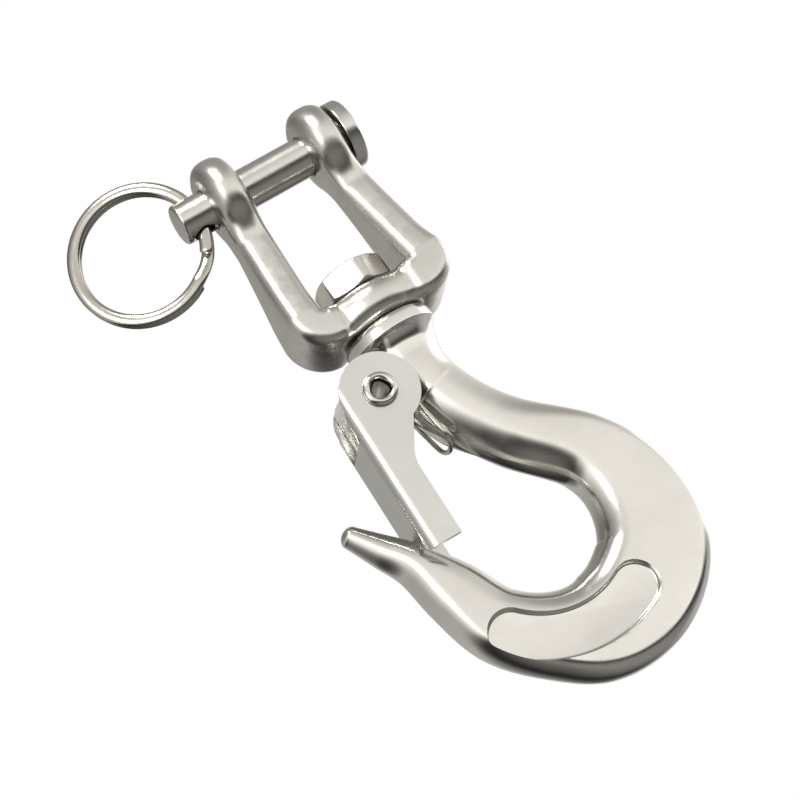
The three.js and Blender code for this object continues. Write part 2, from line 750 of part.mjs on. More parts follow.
// Front half of the wire: leg on the web, coil, strand, and half of the loop. The back half mirrors it.
function springHalf() {
  const { coilRadius, pitch, wireDiameter } = spring;
  const from = spring.legAngle;
  const to = spring.loopLean - 360;
  const turns = (from - to) / 360;
  const nearY = -(lug.thickness / 2 + spring.lugGap + wireDiameter / 2);
  const farY = nearY - turns * pitch;
  const onCoil = (angle, y) => new THREE.Vector3(
    rivetX + coilRadius * Math.cos(degrees(angle)), y, rivetZ + coilRadius * Math.sin(degrees(angle)),
  );
  const along = (angle) => new THREE.Vector3(Math.sin(degrees(angle)), 0, -Math.cos(degrees(angle)));
  const points = [
    onCoil(from, farY).addScaledVector(along(from), -spring.legLength),
    onCoil(from, farY).addScaledVector(along(from), -spring.legLength / 2),
  ];
  const coilSteps = Math.round(turns * facets.coilSteps);
  for (let i = 0; i <= coilSteps; i += 1) {
    const share = i / coilSteps;
    points.push(onCoil(from + (to - from) * share, farY + (nearY - farY) * share));
  }
  const strand = (reach, y) => onCoil(to, y).addScaledVector(along(to), reach);
  points.push(strand(lug.rootHeight / 2, nearY));
  points.push(strand((lug.rootHeight / 2 + spring.loopReach) / 2, (nearY - spring.loopHalfWidth) / 2));
  for (const swing of [0, 30, 60].map(degrees)) {
    const reach = spring.loopReach + spring.loopRound * Math.sin(swing);
    points.push(strand(reach, -spring.loopHalfWidth * Math.cos(swing)));
  }
  return { points, tip: strand(spring.loopReach + spring.loopRound, 0) };
}

function latchSpring() {
  const { points, tip } = springHalf();
  const back = points.map((p) => new THREE.Vector3(p.x, -p.y, p.z)).reverse();
  const path = new THREE.CatmullRomCurve3([...points, tip, ...back], false, 'centripetal');
  return wire(path, facets.springSteps, spring.wireDiameter, spring.wireDiameter);
}

// ---------------------------------------------------------------- assembly

const satin = 0.35;
const polished = 0.18;
const swivelHook = new THREE.Group();
swivelHook.add(
  piece('jaw_fork', jawFork(), steel(0xc9c7c2, satin)),
  piece('clevis_pin', clevisPin(), steel(0xcfcdc9, satin)),
  piece('split_ring', splitRing(), steel(0xb9b7b2, polished)),
  piece('hook', hookBody(), steel(0xccc9c4, satin)),
  piece('swivel_nut', swivelNut(), steel(0xc6c4bd, satin)),
  piece('safety_latch', safetyLatch(), steel(0xd2d0ca, satin)),
  piece('latch_rivet', latchRivet(), steel(0xd6d2cc, polished)),
  piece('latch_spring', latchSpring(), steel(0xbab8b1, polished)),
);

export default swivelHook;
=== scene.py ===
# %% [markdown]
# # Stainless swivel hook
# The CAD frame gives the sizes, the places and the moving bodies. This lesson builds a finer skin
# over each of its eight pieces, gives each the finish that its making leaves, and lights them.
# Sizes are in millimetres up to the moment a mesh is made, because the drawing is in millimetres.

# %% The frame
import json
import math

import bpy
import numpy as np
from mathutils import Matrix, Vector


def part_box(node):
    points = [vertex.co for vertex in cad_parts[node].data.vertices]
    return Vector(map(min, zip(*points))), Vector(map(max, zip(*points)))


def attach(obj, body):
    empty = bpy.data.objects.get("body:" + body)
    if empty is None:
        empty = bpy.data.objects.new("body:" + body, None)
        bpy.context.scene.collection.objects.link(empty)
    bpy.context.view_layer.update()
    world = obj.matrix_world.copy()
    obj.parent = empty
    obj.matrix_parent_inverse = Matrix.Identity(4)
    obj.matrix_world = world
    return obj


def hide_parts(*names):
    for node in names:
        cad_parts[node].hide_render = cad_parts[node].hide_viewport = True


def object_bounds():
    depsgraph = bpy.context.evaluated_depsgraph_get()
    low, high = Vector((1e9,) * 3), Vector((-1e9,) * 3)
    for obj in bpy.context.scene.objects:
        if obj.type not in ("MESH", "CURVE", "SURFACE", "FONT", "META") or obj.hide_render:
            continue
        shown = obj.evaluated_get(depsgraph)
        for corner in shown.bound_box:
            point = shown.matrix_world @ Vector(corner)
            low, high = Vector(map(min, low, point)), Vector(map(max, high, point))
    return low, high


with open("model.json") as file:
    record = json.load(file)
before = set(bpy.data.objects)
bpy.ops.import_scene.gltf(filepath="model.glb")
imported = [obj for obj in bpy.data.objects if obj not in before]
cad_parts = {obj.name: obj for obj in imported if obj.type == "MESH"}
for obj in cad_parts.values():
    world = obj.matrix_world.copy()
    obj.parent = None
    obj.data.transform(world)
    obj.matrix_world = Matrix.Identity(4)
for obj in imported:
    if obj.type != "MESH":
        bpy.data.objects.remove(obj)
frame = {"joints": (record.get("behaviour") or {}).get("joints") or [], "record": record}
frame_low, frame_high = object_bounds()
MM = 0.001

joints = {j["name"]: np.array(j["pos_m"]) / MM for j in frame["joints"]}
mounts = {m["name"]: np.array(m["pos_m"]) / MM for m in frame["record"]["mounts"]}


def corners(node):
    """Lowest and highest corner of a CAD node, in millimetres."""
    low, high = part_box(node)
    return np.array(low) / MM, np.array(high) / MM


# %% [markdown]
# ## Skins
# Every piece here is a row of outlines, like the ribs of a boat, with a skin stretched over them.
# numpy works out all the points of all the outlines at once, and one helper turns them into a mesh.
# If the skin comes out facing inwards, its enclosed volume is negative, so it is turned round.

# %% Mesh helpers
SHARP = 38  # degrees between two faces, above which the edge between them is shaded as a sharp one
NEARLY_HALF = 0.49  # the share of a straight side that an eased corner may use up, so that two never meet


def finish_mesh(name, points, faces, lay=None):
    """An object at the origin from points in millimetres and lists of point numbers, facing outwards."""
    mesh = bpy.data.meshes.new(name)
    mesh.from_pydata((np.asarray(points) * MM).tolist(), [], faces)
    if lay is not None:
        mesh.uv_layers.new(name="lay").uv.foreach_set("vector", lay.astype(np.float32).ravel())
    mesh.calc_loop_triangles()
    corner = np.zeros(len(mesh.loop_triangles) * 3, np.int32)
    mesh.loop_triangles.foreach_get("vertices", corner)
    a, b, c = np.moveaxis(np.asarray(points)[corner.reshape(-1, 3)], 1, 0)
    if np.einsum("ij,ij->", a, np.cross(b, c)) < 0:
        mesh.flip_normals()
    mesh.shade_smooth()
    mesh.set_sharp_from_angle(angle=math.radians(SHARP))
    made = bpy.data.objects.new(name, mesh)
    bpy.context.scene.collection.objects.link(made)
    return made


def skin(name, rows, looped=False, flat=False):
    """A closed skin over rows of outlines, shape (rows, points, 3).

    Each point is joined to the next in its outline and to the same point in the next outline. A looped
    skin joins its last outline to its first, a flat one has one face at each end, and any other gets a
    middle point that closes each end.
    Its UV map is the lay of the surface: U runs once round the outlines and V from the first to the last.
    """
    count, around = rows.shape[:2]
    number = np.arange(count * around).reshape(count, around)
    after = np.roll(number, -1, axis=1)
    if looped:
        here, there = (number, after), (np.roll(number, -1, axis=0), np.roll(after, -1, axis=0))
    else:
        here, there = (number[:-1], after[:-1]), (number[1:], after[1:])
    quads = np.stack([here[0], here[1], there[1], there[0]], -1).reshape(-1, 4)
    points = rows.reshape(-1, 3)
    faces = quads.tolist()
    v, u = np.meshgrid(np.arange(len(here[0])), np.arange(around), indexing="ij")
    lay = np.stack([np.stack([(u + du) / around, (v + dv) / (count - 1)], -1)
                    for du, dv in ((0, 0), (1, 0), (1, 1), (0, 1))], 2).reshape(-1, 2)
    if flat:
        faces += [number[0, ::-1].tolist(), number[-1].tolist()]
        lay = np.vstack([lay, np.zeros((2 * around, 2))])
    elif not looped:
        poles = np.stack([rows[0].mean(0), rows[-1].mean(0)])
        points = np.vstack([points, poles])
        first = np.stack([after[0], number[0], np.full(around, count * around)], -1)
        last = np.stack([number[-1], after[-1], np.full(around, count * around + 1)], -1)
        faces += first.tolist() + last.tolist()
        edge = np.arange(around) / around
        caps = [np.stack([np.stack([edge, edge * 0 + end], -1)] * 3, 1).reshape(-1, 2) for end in (0.0, 1.0)]
        lay = np.vstack([lay, *caps])
    return finish_mesh(name, points, faces, lay)


def prism(name, outline, low, high, along=1):
    """A flat outline drawn out along an axis (1 is Y, 2 is Z), with one flat face at each end."""
    ends = np.stack([np.insert(outline, along, at, axis=1) for at in (low, high)])
    return skin(name, ends, flat=True)


def eased(profile, reach, steps=6):
    """The same open profile with each corner replaced by a curve that starts and ends reach away from it.

    A corner B between A and C becomes (1-t)^2 P + 2t(1-t) B + t^2 Q, where P and Q lie on its two sides.
    """
    profile = np.asarray(profile, float)
    a, b, c = profile[:-2], profile[1:-1], profile[2:]
    reach = np.broadcast_to(np.asarray(reach, float), len(b))[:, None]
    into, out = a - b, c - b
    into_length, out_length = (np.linalg.norm(v, axis=1, keepdims=True) for v in (into, out))
    p = b + into / into_length * np.minimum(reach, into_length * NEARLY_HALF)
    q = b + out / out_length * np.minimum(reach, out_length * NEARLY_HALF)
    t = np.linspace(0, 1, steps)[None, :, None]
    curve = (1 - t) ** 2 * p[:, None] + 2 * t * (1 - t) * b[:, None] + t**2 * q[:, None]
    return np.vstack([profile[:1], curve.reshape(-1, 2), profile[-1:]])


def turned(name, profile, along, centre=(0, 0, 0), sides=128, looped=False):
    """A profile of (radius, height) pairs turned round an axis: x = r cos a, y = r sin a, and h along it."""
    profile = np.asarray(profile, float)
    angle = np.linspace(0, 2 * np.pi, sides, endpoint=False)
    radius, height = profile[:, :1], np.repeat(profile[:, 1:], sides, axis=1)
    local = np.stack([radius * np.cos(angle), radius * np.sin(angle), height], -1)
    order = {"x": (2, 0, 1), "y": (1, 2, 0), "z": (0, 1, 2)}[along]
    return skin(name, local[..., list(order)] + np.asarray(centre, float), looped)


def cut(body, *cutters, operation="DIFFERENCE"):
    """Cuts each cutter out of the body, or keeps what they share, and throws the cutters away."""
    for cutter in cutters:
        step = body.modifiers.new("cut", "BOOLEAN")
        step.operation, step.object, step.solver = operation, cutter, "MANIFOLD"
        shape = body.evaluated_get(bpy.context.evaluated_depsgraph_get())
        result = bpy.data.meshes.new_from_object(shape)
        body.modifiers.clear()
        body.data = result
        bpy.data.objects.remove(cutter)
    body.data.shade_smooth()
    body.data.set_sharp_from_angle(angle=math.radians(SHARP))
    return body


def moved(obj, move):
    """Puts each point of a mesh, in millimetres, where the function move sends it."""
    points = np.zeros(len(obj.data.vertices) * 3)
    obj.data.vertices.foreach_get("co", points)
    obj.data.vertices.foreach_set("co", (move(points.reshape(-1, 3) / MM) * MM).ravel())
    obj.data.update()
    return obj


def report(obj):
    """Prints the size of a finished piece and returns it."""
    corner = np.array([list(v) for v in obj.bound_box]) / MM
    print(obj.name, "size", np.ptp(corner, axis=0).round(1).tolist(), "mm, faces", len(obj.data.polygons))
    return obj


# %% [markdown]
# ## Clevis jaw
# The jaw is one investment casting in stainless steel: a U with two round ears for the pin and a
# thick round boss for the swivel. Ribs are set along its middle line, from one ear round to the
# other. Each rib is a rounded rectangle. A larger corner makes the soft ears, and a smaller one
# the crisp legs. Two measures meet softly in a sixth root of the sum of their sixth powers, because
# the larger one then nearly hides the smaller, except where they are about equal.

# %% Clevis jaw
PIN_RADIUS = 4.0
EAR_RADIUS, EAR_THICK, EAR_GAP = 8.6, 7.2, 14.4
LEG_THICK, LEG_DEPTH, BASE_DEPTH, BASE_BACK = 6.8, 8.6, 15.4, 1.4
GAP_BELOW_EARS, GAP_AT_BASE = 15.2, 19.3
BAR_TOP, BAR_HEIGHT, BOSS_RADIUS, BEND_RADIUS = -30.3, 7.6, 9.2, 4.0
NECK_RADIUS = 3.9
PIN_PLAY, NECK_PLAY = 0.15, 0.2
BAR_CORNER, BEND_CORNER, LEG_CORNER, EAR_CORNER = 3.6, 2.4, 2.2, 4.4
NECK_DROP, EAR_EDGE = 2.4, 3.0
EAR_START = 0.62  # the sine of the angle below level at which an ear's own circle begins
FOOT_FULLER, FOOT_SHIFT = 0.7, 0.5


def soft_max(a, b, sharpness=6):
    """Larger of two positive measures, with a soft change from one to the other."""
    return (a**sharpness + b**sharpness) ** (1 / sharpness)


def smooth(x, start, end):
    """0 before start and 1 after end, with a gentle S between them: 3t^2 - 2t^3."""
    t = np.clip((x - start) / (end - start), 0, 1)
    return t * t * (3 - 2 * t)


def mix(a, b, share):
    """The value that lies the given share of the way from a to b."""
    return a + (b - a) * share


def rounded_ribs(half_u, half_v, corner_u, corner_v, power=2.3, steps=10):
    """Outlines with flat sides and soft corners, shape (ribs, points, 2).

    Each corner is a quarter of |x|^p + |y|^p = 1, stretched to reach corner_u and corner_v in from
    the edges. The flats between the corners are just the gaps from one corner to the next.
    """
    angle = np.linspace(0, np.pi / 2, steps)
    curve = np.stack([np.cos(angle), np.sin(angle)]) ** (2 / power)
    signs = [(1, 1, 1), (-1, 1, -1), (-1, -1, 1), (1, -1, -1)]
    sides = []
    for su, sv, direction in signs:
        cu, cv = curve[:, ::direction]
        sides.append(np.stack([
            su * (half_u[:, None] - corner_u[:, None] * (1 - cu)),
            sv * (half_v[:, None] - corner_v[:, None] * (1 - cv)),
        ], -1))
    return np.concatenate(sides, axis=1)


def along_path(outlines, x, z, heading, y=0.0):
    """Each outline is set across its path: u points left of the heading in the XZ plane, and v along Y."""
    u, v = outlines[..., 0], outlines[..., 1]
    return np.stack([
        x[:, None] - u * np.sin(heading)[:, None],
        v + y,
        z[:, None] + u * np.cos(heading)[:, None],
    ], -1)


def jaw_ribs():
    """Middle line, heading, half thickness, half depth and corners of the right half of the jaw."""
    lean = math.atan((GAP_AT_BASE - GAP_BELOW_EARS) / 2 / (-BAR_TOP - EAR_RADIUS))
    bar_half, leg_half = BAR_HEIGHT / 2, LEG_THICK / 2
    bar_z = BAR_TOP - bar_half
    bend_z = bar_z + BEND_RADIUS

    def leg_x(z):
        return GAP_AT_BASE / 2 + leg_half / math.cos(lean) - (z - BAR_TOP) * math.tan(lean)

    bend_x = leg_x(bend_z) - BEND_RADIUS / math.cos(lean)
    x = np.linspace(0, bend_x, 24, endpoint=False)
    waist = BASE_DEPTH / 2 - 0.9
    beside = mix(waist, BASE_DEPTH / 2, smooth(x, BOSS_RADIUS * 0.7, bend_x))
    bar = np.stack([x, x * 0 + bar_z, x * 0, x * 0 + bar_half,
                    soft_max(beside, np.sqrt(np.maximum(BOSS_RADIUS**2 - x**2, 0.1)), 10),
                    mix(BAR_CORNER, BEND_CORNER, smooth(x, BOSS_RADIUS * 0.5, BOSS_RADIUS)),
                    BASE_BACK * smooth(x, BOSS_RADIUS * 0.6, bend_x)], -1)

    share = np.linspace(0, 1, 28)
    turn = (np.pi / 2 + lean) * share
    bend = np.stack([bend_x + BEND_RADIUS * np.sin(turn), bend_z - BEND_RADIUS * np.cos(turn), turn,
                     mix(bar_half, leg_half, share), mix(bar[-1, 4], BASE_DEPTH / 2 - 0.2, share),
                     mix(BEND_CORNER, LEG_CORNER, share), share * 0 + BASE_BACK], -1)

    neck = -EAR_RADIUS - NECK_DROP
    z = np.linspace(bend[-1, 1], neck, 42)[1:-1]
    fall = (neck - z) / (neck - bend[-1, 1])
    leg = np.stack([leg_x(z), z, z * 0 + np.pi / 2 + lean, z * 0 + leg_half,
                    mix(LEG_DEPTH / 2, bend[-1, 4], fall**1.15), z * 0 + LEG_CORNER,
                    BASE_BACK * fall**1.5], -1)

    # A cubic joins the leg to the ear's circle, level with the leg and along the circle's own slope.
    start = -EAR_RADIUS * EAR_START
    round_ear = np.linspace(-math.asin(EAR_START), math.radians(88), 48)
    z = np.concatenate([np.linspace(neck, start, 20)[:-1], EAR_RADIUS * np.sin(round_ear)])
    grown = smooth(z, neck, -EAR_RADIUS * 0.4)
    past = np.maximum(z - (EAR_RADIUS - EAR_EDGE), 0)
    shoulder = EAR_EDGE - np.sqrt(EAR_EDGE**2 - past**2)
    circle = np.sqrt(EAR_RADIUS**2 - np.maximum(z, start)**2)
    share = np.clip((z - neck) / (start - neck), 0, 1)
    rise, slope = circle[0] - LEG_DEPTH / 2, -start / circle[0] * (start - neck)
    under = LEG_DEPTH / 2 + (3 * share**2 - 2 * share**3) * rise + (share**3 - share**2) * slope
    ear = np.stack([mix(leg_x(np.minimum(z, neck)), (EAR_GAP + EAR_THICK) / 2, grown), z,
                    np.pi / 2 + lean * (1 - grown), mix(leg_half, EAR_THICK / 2, grown) - shoulder,
                    np.where(z < start, under, circle), mix(LEG_CORNER, EAR_CORNER, grown), z * 0], -1)
    return np.vstack([bar, bend, leg, ear])


right = jaw_ribs()
left = right[:0:-1] * [-1, 1, -1, 1, 1, 1, 1]
ribs = np.vstack([left, right])

# The jaw's two feet aren't alike: the right one is fuller than the left.
foot = smooth(-ribs[:, 1], 25, 35)
fuller = FOOT_FULLER * foot * smooth(ribs[:, 0], 5, 12)
ribs[:, 3] += fuller
ribs[:, 0] += fuller + FOOT_SHIFT * foot * smooth(-ribs[:, 0], 5, 12)
corner_u = np.minimum(ribs[:, 5], ribs[:, 3] * 0.97)
corner_v = np.minimum(ribs[:, 5] * 1.1, ribs[:, 4] * 0.97)
bulge = ribs[:, 6] / 2
outlines = rounded_ribs(ribs[:, 3], ribs[:, 4] + bulge, corner_u, corner_v)
jaw = skin("clevis_jaw", along_path(outlines, ribs[:, 0], ribs[:, 1], ribs[:, 2], bulge[:, None]))
pin_bore = turned("pin_bore", [(PIN_RADIUS + PIN_PLAY, -40), (PIN_RADIUS + PIN_PLAY, 40)], "x")
neck_bore = turned("neck_bore", [(NECK_RADIUS + NECK_PLAY, -45), (NECK_RADIUS + NECK_PLAY, -20)], "z")
report(cut(jaw, pin_bore, neck_bore))

# %% [markdown]
# ## Clevis pin
# The pin is turned from bar: a flat head, a plain shank and a hole across its tail for the ring.
# A lathe takes a profile round an axis, so the piece is a profile turned round X. Each corner of
# the profile is eased, since a turned corner is always broken with a file.

# %% Clevis pin
HEAD_RADIUS, HEAD_THICK, HEAD_GAP, TAIL = 7.0, 2.9, 0.3, 6.6
CROSS_HOLE, HOLE_LIP = 2.2, 0.45
ear_face = EAR_GAP / 2 + EAR_THICK
head_start, tail_end = ear_face + HEAD_GAP, -(ear_face + TAIL)
profile = eased(
    [(0.01, tail_end), (PIN_RADIUS, tail_end), (PIN_RADIUS, head_start), (HEAD_RADIUS, head_start),
     (HEAD_RADIUS, head_start + HEAD_THICK), (0.01, head_start + HEAD_THICK)],
    [0.75, 0.15, 0.35, 0.8],
)
pin = turned("turned_pin", profile, "x")
hole_x = joints["ring_swing"][0]
hole = np.array([(CROSS_HOLE + 2 * HOLE_LIP, PIN_RADIUS + HOLE_LIP), (CROSS_HOLE, PIN_RADIUS - HOLE_LIP)])
hole = np.vstack([hole * [1, -1], hole[::-1]])
report(cut(pin, turned("cross_hole", hole, "z", (hole_x, 0, 0), sides=64)))

# %% [markdown]
# ## Split ring
# Spring wire, rolled flat and wound twice round, so that it can be worked through the hole. The
# middle line is a circle whose two turns lie side by side, with one quick step between them. The
# wire's section is carried round it with its flat against its neighbour.

# %% Split ring
RING_OUTER, WIRE_WIDE, WIRE_THICK, TURN_GAP = 28.2, 2.5, 1.3, 0.12
RING_RISE, RING_SWING = 0.2, math.radians(17)
STEP_START, STEP_SPAN = -62, 26
WIRE_SQUARE = 2.1  # the power of the wire's outline: 2 is an ellipse, and more has flatter sides
END_TAPER = 1.6  # degrees round the ring over which the wire's cut end is rounded


def split_ring():
    """x = r cos a and z = r sin a; y steps from one side to the other over STEP_SPAN degrees."""
    radius = (RING_OUTER - WIRE_WIDE) / 2
    swept = np.linspace(0, 720 - STEP_SPAN, 420)
    lift = smooth(swept, 360 - STEP_SPAN, 360) - 0.5
    angle = np.radians(STEP_START + STEP_SPAN + swept)
    around = np.linspace(0, 2 * np.pi, 24, endpoint=False)
    section = np.stack([np.cos(around), np.sin(around)])
    wide, thick = np.sign(section) * np.abs(section) ** (2 / WIRE_SQUARE)
    ends = np.minimum(swept, swept[-1] - swept)
    taper = np.sqrt(1 - np.clip(1 - ends / END_TAPER, 0, 1) ** 2 * 0.5)[:, None]
    reach = radius + WIRE_WIDE / 2 * wide * taper
    across = WIRE_THICK / 2 * thick * taper + (lift * (WIRE_THICK + TURN_GAP))[:, None]
    sag = radius - math.sqrt(radius**2 - (PIN_RADIUS + RING_RISE) ** 2)
    x = reach * np.cos(angle)[:, None] + sag / 2 - radius
    z = reach * np.sin(angle)[:, None] + RING_RISE
    c, s = math.cos(-RING_SWING), math.sin(-RING_SWING)
    return np.stack([c * x - s * across + hole_x, s * x + c * across, z], -1)


ring = report(skin("key_ring", split_ring()))

# %% [markdown]
# ## Hook
# The hook is forged from one bar and polished. Its neck, collar, shank, bowl and point are one
# run of ribs along a curved middle line. A rib runs from its inner edge over the top to its outer
# edge, and the same below. The inner side of the bowl is half round, so that a sling isn't cut.
# The outer side is squarer. The lug for the latch grows out of the shank's ribs, which gives it
# the soft roots of a forging without joining two shapes.

# %% Hook sizes
COLLAR_TOP, COLLAR_BOTTOM, COLLAR_RADIUS = -38.2, -41.2, 9.0
BOWL_RADIUS, THICK = 11.4, 12.0
LUG_RADIUS, LUG_THICK = 5.2, 8.4
RIVET_BORE = 2.52
bowl_z = mounts["bowl_seat"][2] + BOWL_RADIUS
rivet_x, rivet_z = joints["latch_open"][0], joints["latch_open"][2]
neck_top = corners("hook")[1][2]

# Each rib: middle x and z, width, thickness, how far the inner and outer rounding reach in, and how
# square the outer one is (2 is an ellipse, more is squarer).
root = [0.5, COLLAR_BOTTOM + 1.5, 15.2, 11.4, 7.6, 7.6, 2]
shank = [
    root,
    [0.35, COLLAR_BOTTOM - 8, 12.6, 12.0, 5.6, 7.2, 2],
    [3.0, (COLLAR_BOTTOM - 8 + bowl_z + 17.6) / 2, 12.6, 12.0, 5.8, 7.2, 2],
    [8.0, bowl_z + 17.6, 13.3, 12.0, 5.8, 6.0, 2.2],
]
bowl_angle = np.radians([22, -10, -39, -65, -89, -114, -143])
bowl_inside = np.array([11.4, 11.7, 12.0, 11.7, 11.4, 11.4, 11.4])
bowl_outside = np.array([25.4, 28.9, 32.4, 32.7, 30.8, 26.8, 24.8])
bowl_width = bowl_outside - bowl_inside
reach = (bowl_inside + bowl_outside) / 2
bowl = np.stack([reach * np.cos(bowl_angle), bowl_z + reach * np.sin(bowl_angle), bowl_width,
                 np.full(7, THICK), np.full(7, 5.2), np.full(7, 2.8), np.full(7, 2.6)], -1)
point = [
    [-18.0, bowl_z - 1.7, 11.8, 10.8, 5.2, 4.2, 2.3],
    [-21.1, bowl_z + 6.1, 8.2, 9.67, 4.1, 4.1, 2],
    [-24.45, bowl_z + 11.35, 6.2, 7.33, 3.1, 3.1, 2],
    [-27.8, bowl_z + 16.6, 4.2, 5.0, 2.1, 2.1, 2],
]
stations = np.vstack([shank, bowl, point])


# %% Hook
LUG_EDGE = 0.9
FILLET = 5.0
LUG_ROOT, LUG_FOOT, LUG_WEB, LUG_END, LUG_STEP = 3.2, -66.5, 5.6, 30.0, 1.1
COLLAR_LIP = 0.4
TIP = 1.5


def through(values, count):
    """A smooth curve through evenly spaced values (Catmull-Rom): a cubic between each two of them.

    Its slope at each value is half the step between the values on either side.
    """
    ends = np.vstack([2 * values[:1] - values[1:2], values, 2 * values[-1:] - values[-2:-1]])
    at = np.linspace(0, len(values) - 1, count)
    i = np.minimum(at.astype(int), len(values) - 2)
    t = (at - i)[:, None]
    p0, p1, p2, p3 = ends[i], ends[i + 1], ends[i + 2], ends[i + 3]
    return 0.5 * (2 * p1 + (p2 - p0) * t + (2 * p0 - 5 * p1 + 4 * p2 - p3) * t**2
                  + (3 * p1 - p0 - 3 * p2 + p3) * t**3)


def hook_outline(half, thick, inner, outer, square, tongue, tongue_half, crown=0.0, columns=64):
    """Outlines from the inner edge over the top to the outer edge and back below.

    The height over a point u of the rib is thick * (1 - gone^n)^(1/n), where gone is how far u has
    run into the rounding at that end. A crown lowers both edges by a square law, which turns a flat
    face into a very slightly swollen one, as belt polishing does. The tongue is a thinner plate that
    reaches out past the inner edge, with its own rounded end, and the two heights meet softly.
    """
    half, thick, inner, outer, square, tongue, tongue_half, crown = (
        np.reshape(v, (-1, 1)) for v in (half, thick, inner, outer, square, tongue, tongue_half, crown))
    left_edge = np.maximum(half, tongue)
    share = (1 - np.cos(np.linspace(0, np.pi, columns + 1))) / 2
    u = -left_edge + (left_edge + half) * share
    inner_gone = np.clip((inner - half - u) / inner, 0, 1)
    outer_gone = np.clip((u - (half - outer)) / outer, 0, 1)
    swollen = thick - crown * (u / half) ** 2
    height = swollen * np.sqrt(1 - inner_gone**2) * (1 - outer_gone**square) ** (1 / square)
    tip_gone = np.clip((LUG_EDGE - tongue - u) / LUG_EDGE, 0, 1)
    plate = tongue_half * np.where(u >= -tongue, np.sqrt(1 - tip_gone**2), 0)
    fade = np.clip((half - 1 - u) / 3, 0, 1)
    height = soft_max(height, plate * fade + 1e-9, 7)
    height[:, [0, -1]] = 0
    top = np.stack([u, height], -1)
    bottom = np.stack([u, -height], -1)[:, -2:0:-1]
    return np.concatenate([top, bottom], axis=1)


samples = through(stations, 900)
middle = samples[:, :2]
slope = np.gradient(middle, axis=0)
heading = np.arctan2(slope[:, 1], slope[:, 0])
length = np.concatenate([[0], np.cumsum(np.linalg.norm(np.diff(middle, axis=0), axis=1))])

# Ribs are closer together round the lug and collar, where the shape changes fastest.
fine = np.arange(0.0, 19.0, 0.16)
even = np.arange(19.0, length[-1], 0.46)
at = np.concatenate([fine, even, length[-1:]])
x, z, head, width, thickness, inner, outer, square = (
    np.interp(at, length, column) for column in (*middle.T, np.unwrap(heading), *samples[:, 2:].T))
half, thick = width / 2, thickness / 2
inner, outer = np.minimum(inner, half), np.minimum(outer, half)

# The collar flows into the shank in a hollow quarter round, FILLET deep.
crown = mix(1.2, 0.4, smooth(at, 22, 45))
depth = np.clip((COLLAR_BOTTOM - z) / FILLET, 0, 1)
flare = 1 - np.sqrt(1 - (1 - depth) ** 2)
flare[z > COLLAR_BOTTOM] = 1
half = mix(half, COLLAR_RADIUS - COLLAR_LIP, flare)
thick = mix(thick, COLLAR_RADIUS - COLLAR_LIP, flare)
x = x * (1 - flare)
inner, outer = mix(inner, half, flare), mix(outer, half, flare)
square = mix(square, 2, flare)

# The lug's end is a circle about the rivet. Its reach along each rib is where the rib meets it.
ux, uz = -np.sin(head), np.cos(head)
dx, dz = x - rivet_x, z - rivet_z
across = dx * ux + dz * uz
offset = np.abs(dx * uz - dz * ux)
beyond = np.clip((offset - LUG_RADIUS) / LUG_ROOT, 0, 1)
fall = 1 - np.sqrt(1 - (1 - beyond) ** 2)
tongue = np.where(offset < LUG_RADIUS, across + np.sqrt(np.maximum(LUG_RADIUS**2 - offset**2, 0)),
                  half - 1 + (across - half + 1) * fall)

# Below the circle a thin web runs down the shank, a little proud of it, and fades out at its foot.
near = at < LUG_END
ridge = half + LUG_STEP * smooth(z, LUG_FOOT, LUG_FOOT + 8)
below = soft_max(np.maximum(tongue, 0.5), ridge, 16)
tongue = np.where(near, np.where(z < rivet_z, below, tongue), 0.5)
web = LUG_WEB / 2 * smooth(z, LUG_FOOT, LUG_FOOT + 9) * (z < rivet_z) * near
tongue_half = np.where(near & (offset < LUG_RADIUS + LUG_ROOT), LUG_THICK / 2, 0.01) * np.clip(
    1.25 - beyond, 0.25, 1)
tongue_half = np.maximum(tongue_half, web)
keep = z < COLLAR_BOTTOM + 0.02
body = along_path(
    hook_outline(half, thick, inner, outer, square, tongue, tongue_half, crown * (1 - flare))[keep],
    x[keep], z[keep], head[keep])

# The point is closed by ever smaller ribs that follow a quarter round.
swing = np.radians(np.linspace(6, 88, 14))
end = hook_outline(*(v[-1:] for v in (half, thick, inner, outer, square, tongue, tongue_half)), crown[-1:])
tip_outlines = end * np.cos(swing)[:, None, None]
tip = along_path(tip_outlines, x[-1] + TIP * np.sin(swing) * math.cos(head[-1]),
                 z[-1] + TIP * np.sin(swing) * math.sin(head[-1]), np.full(14, head[-1]))

# Neck and collar, from the chamfered top of the neck down to the collar's lower rim.
profile = eased(
    [(3.2, neck_top), (NECK_RADIUS, neck_top - 0.7), (NECK_RADIUS, COLLAR_TOP),
     (COLLAR_RADIUS, COLLAR_TOP), (COLLAR_RADIUS, COLLAR_BOTTOM),
     (COLLAR_RADIUS - COLLAR_LIP, COLLAR_BOTTOM)],
    [0.15, 0.3, 1.3, 0.5], 9)[:-1]
radius, height = profile[:, 0], profile[:, 1]
neck_outlines = hook_outline(radius, radius, radius, radius, radius * 0 + 2, radius * 0 + 0.5,
                             radius * 0 + 0.01)
neck = along_path(neck_outlines, radius * 0, height, radius * 0 - np.pi / 2)

hook = skin("forged_hook", np.concatenate([neck, body, tip]))
report(hook)

# %% [markdown]
# ## Panel in the bowl
# A panel is forged into the front of the bowl, a slot bent round the bowl's middle. It is cut with
# a tool shaped like the slot: wide above the face, tapered through it and eased at the floor, so
# that the lip and the floor both catch a soft line of light.

# %% Panel
PANEL_RADIUS, PANEL_HALF, PANEL_DEPTH = 20.7, 4.2, 0.85
panel_start, panel_end = math.radians(223), math.radians(294)


